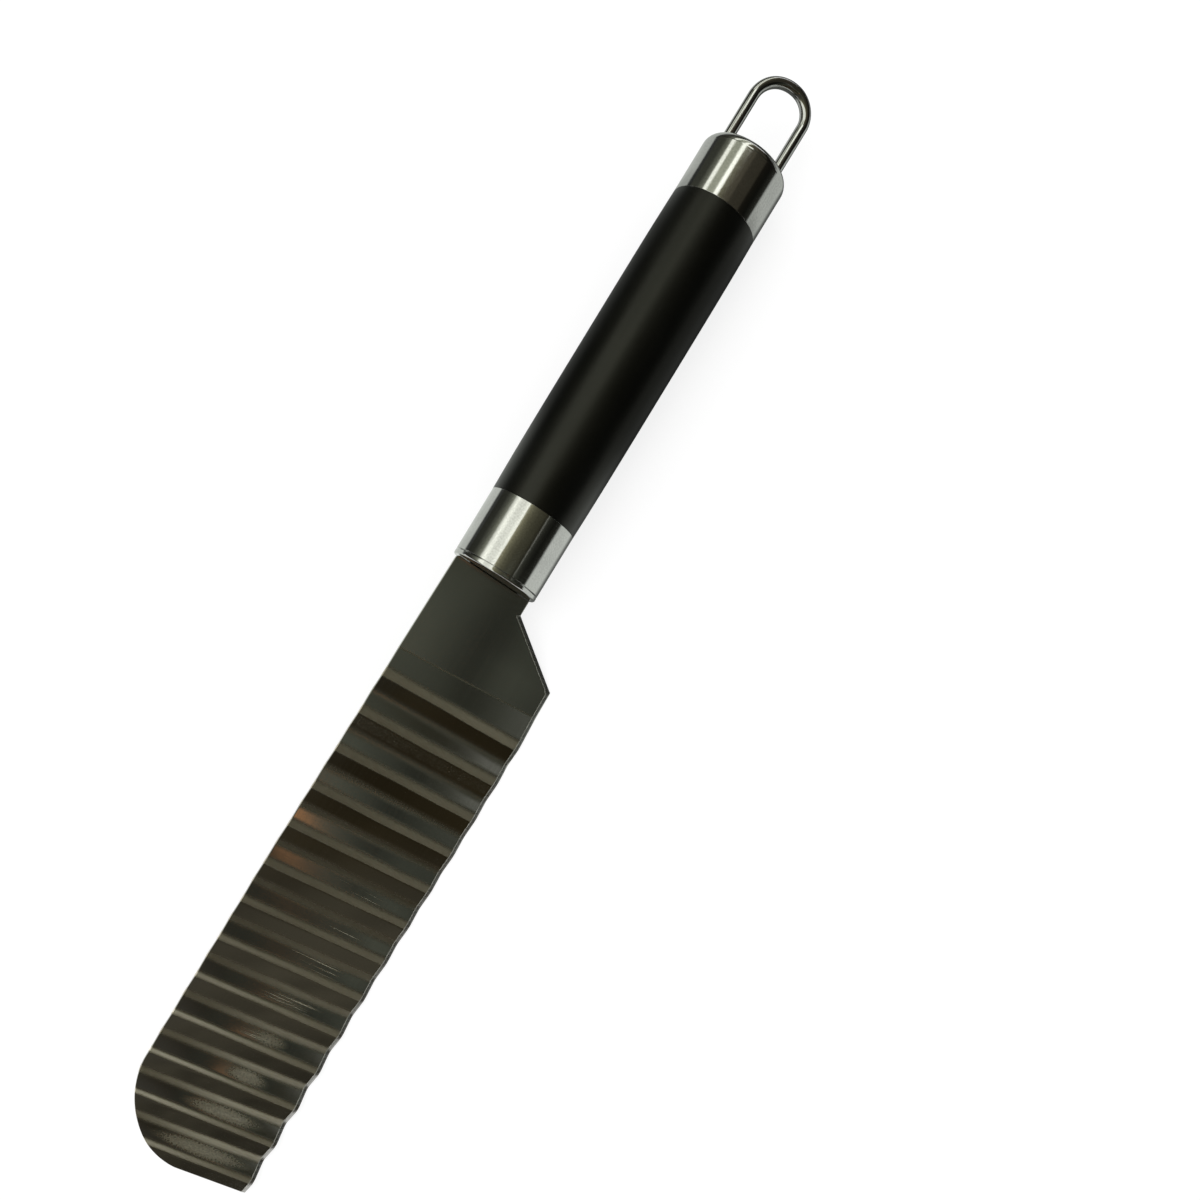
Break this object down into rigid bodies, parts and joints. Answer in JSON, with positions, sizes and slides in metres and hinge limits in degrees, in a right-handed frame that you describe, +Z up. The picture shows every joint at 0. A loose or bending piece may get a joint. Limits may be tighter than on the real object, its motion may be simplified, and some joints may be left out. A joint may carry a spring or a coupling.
{
  "type": "crinkle cutter",
  "caption": "Kitchen knife with a corrugated steel blade for wavy slices, round black grip between polished steel ends, and a wire loop to hang it by.",
  "frame": {"origin": "middle of the bounding box, on the table that the knife lies on", "axes": "+X along the handle towards the blade tip, +Y towards the cutting edge, +Z up from the table, with the knife lying on its handle and its cutting edge"},
  "size_m": [0.2948, 0.0368, 0.0224],
  "materials": {
    "blade_steel": "satin, fine grain along the blade",
    "polished_steel": "polished",
    "black_grip": "satin",
    "core_plastic": "as moulded",
    "pin_steel": "drawn"
  },
  "bodies": {
    "handle": {"blade": "blade_steel", "ferrule_end_plate": "polished_steel", "front_ferrule": "polished_steel", "grip_sleeve": "black_grip", "core_upper": "core_plastic", "core_lower": "core_plastic", "tang_pin_front": "pin_steel", "tang_pin_rear": "pin_steel", "loop_plug": "core_plastic", "rear_cap": "polished_steel"},
    "loop": {"hanging_loop": "polished_steel"}
  },
  "joints": [
    {"name": "loop_slide", "type": "slide", "parent": "handle", "child": "loop", "axis": [1, 0, 0], "range_m": [0, 0.005]}
  ]
}
